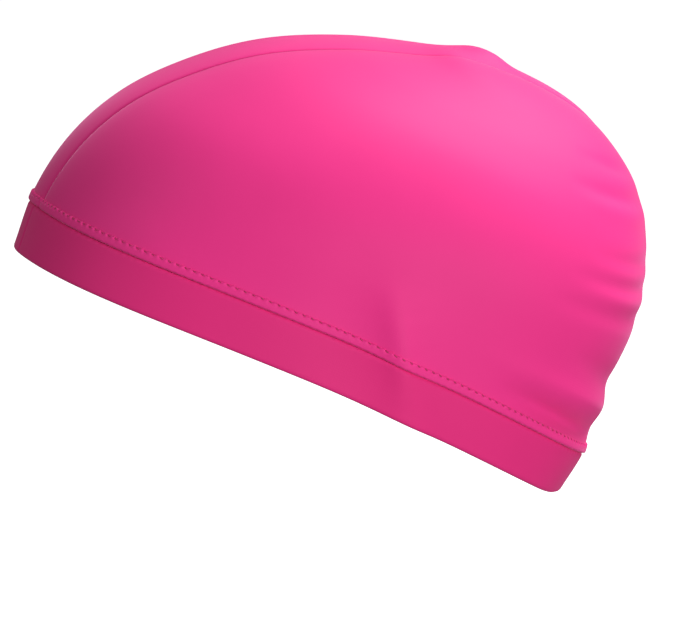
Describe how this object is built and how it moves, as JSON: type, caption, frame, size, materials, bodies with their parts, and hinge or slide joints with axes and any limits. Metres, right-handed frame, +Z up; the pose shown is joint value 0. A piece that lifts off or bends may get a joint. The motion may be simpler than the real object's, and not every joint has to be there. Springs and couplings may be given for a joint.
{
  "type": "swim cap",
  "caption": "Stretch-fabric swim cap in its worn shape: a domed crown of side panels with a centre seam, a stitched welt and a plain headband.",
  "frame": {"origin": "centre of the head opening, in the plane of the rim", "axes": "+X from the forehead to the nape, +Y to the wearer's right, +Z up as worn, with the rim tilted so that the forehead is higher than the nape"},
  "size_m": [0.2026, 0.1565, 0.1479],
  "materials": {
    "crown_cloth": "fine stretch knit with a soft sheen",
    "band_cloth": "doubled fine stretch knit with a soft sheen"
  },
  "bodies": {
    "root": {"crown_left": "crown_cloth", "crown_right": "crown_cloth", "headband": "band_cloth"}
  },
  "joints": []
}
